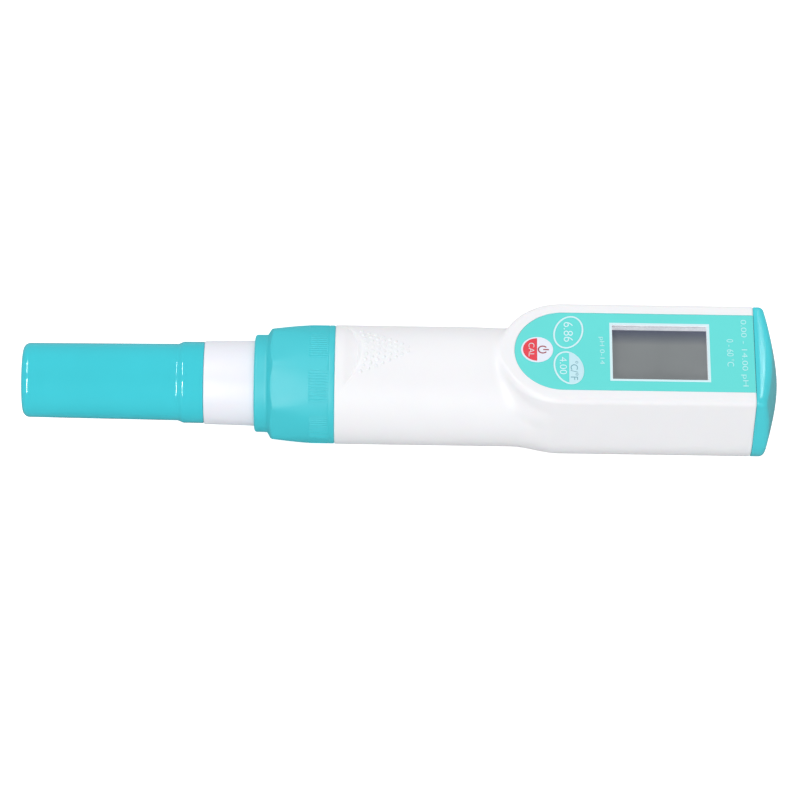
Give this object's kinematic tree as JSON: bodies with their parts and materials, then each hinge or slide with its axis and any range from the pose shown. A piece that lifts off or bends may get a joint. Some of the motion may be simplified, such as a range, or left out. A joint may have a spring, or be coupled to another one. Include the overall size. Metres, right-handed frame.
{
  "type": "pen-type ph meter",
  "caption": "Pen-type pH and temperature meter: white barrel and flat-faced display head, screwed electrode collar, pull-off probe cap and battery cap.",
  "frame": {"origin": "middle of the meter's bounding box, on the plane that its back rests on", "axes": "+X along the barrel from the probe cap to the battery cap, +Z out of the display face, +Y to the display's far side"},
  "size_m": [0.1888, 0.0314, 0.03],
  "materials": {
    "teal_gloss": "high gloss turquoise ABS",
    "teal_satin": "fine satin turquoise ABS",
    "white_plastic": "semi-gloss white ABS",
    "overlay_print": "turquoise print on polyester film",
    "red_key": "red and white print on a raised key",
    "clear_plastic": "clear polished plastic",
    "glass": "thin clear glass",
    "display": "grey unlit liquid crystal glass",
    "light_plastic": "light grey moulded plastic",
    "black_plastic": "black moulded plastic",
    "rubber_black": "black seal rubber",
    "zebra": "pink layered contact rubber",
    "sponge": "open-cell yellow sponge",
    "ceramic": "porous white ceramic",
    "gold": "thin gold plate",
    "steel": "bright steel",
    "silver": "drawn silver wire",
    "wire": "coloured wire insulation",
    "circuit_board": "green solder mask"
  },
  "bodies": {
    "body": {"body_shell": "white_plastic", "face_overlay": "overlay_print", "display_window": "clear_plastic", "thread_insert": "white_plastic", "socket_block": "black_plastic", "socket_contacts": "gold", "signal_wires": "wire", "switch_bodies": "steel", "carrier_frame": "light_plastic", "main_board": "circuit_board", "board_screws": "steel", "lcd_glass": "display", "lcd_frame": "light_plastic", "zebra_strips": "zebra", "main_chip": "black_plastic", "amplifier_chips": "black_plastic", "crystal_can": "steel", "battery_leaves": "gold"},
    "electrode": {"electrode_sleeve": "white_plastic", "electrode_barrel": "clear_plastic", "glass_electrode": "glass", "silver_wire": "silver", "reference_wire": "silver", "junction_ring": "ceramic", "temperature_probe": "steel", "sensor_leads": "wire", "potting_disc": "black_plastic", "electrode_oring": "rubber_black", "plug_block": "black_plastic", "plug_pins": "gold", "cap_oring": "rubber_black", "collar_gasket": "rubber_black"},
    "collar": {"lock_collar": "teal_satin"},
    "probe_cap": {"probe_cap": "teal_gloss", "cap_sponge": "sponge"},
    "battery_cap": {"end_cap": "teal_gloss", "end_gasket": "rubber_black", "battery_tray": "black_plastic", "tray_screws": "steel", "button_cells": "steel", "cell_spring": "steel", "cell_plate": "gold"},
    "power_button": {"power_key": "red_key", "power_plunger": "black_plastic"},
    "ph7_button": {"ph7_key": "overlay_print", "ph7_plunger": "black_plastic"},
    "ph4_button": {"ph4_key": "overlay_print", "ph4_plunger": "black_plastic"}
  },
  "joints": [
    {"name": "electrode_slide", "type": "slide", "parent": "body", "child": "electrode", "axis": [-1, 0, 0], "range_m": [0, 0.008]},
    {"name": "collar_turn", "type": "hinge", "parent": "electrode", "child": "collar", "pos_m": [-0.0264, 0, 0.0149], "axis": [-1, 0, 0], "range_deg": [0, 1440]},
    {"name": "probe_cap_pull", "type": "slide", "parent": "electrode", "child": "probe_cap", "axis": [-1, 0, 0], "range_m": [0, 0.05]},
    {"name": "battery_cap_pull", "type": "slide", "parent": "body", "child": "battery_cap", "axis": [1, 0, 0], "range_m": [0, 0.034]},
    {"name": "power_press", "type": "slide", "parent": "body", "child": "power_button", "axis": [0, 0, -1], "range_m": [0, 0.0004], "stiffness_N_per_m": 600, "springref_m": -0.0005},
    {"name": "ph7_press", "type": "slide", "parent": "body", "child": "ph7_button", "axis": [0, 0, -1], "range_m": [0, 0.0004], "stiffness_N_per_m": 600, "springref_m": -0.0005},
    {"name": "ph4_press", "type": "slide", "parent": "body", "child": "ph4_button", "axis": [0, 0, -1], "range_m": [0, 0.0004], "stiffness_N_per_m": 600, "springref_m": -0.0005}
  ],
  "couplings": [
    {"joint": "collar_turn", "follows": "electrode_slide", "rad_per_m": 3141.6}
  ]
}
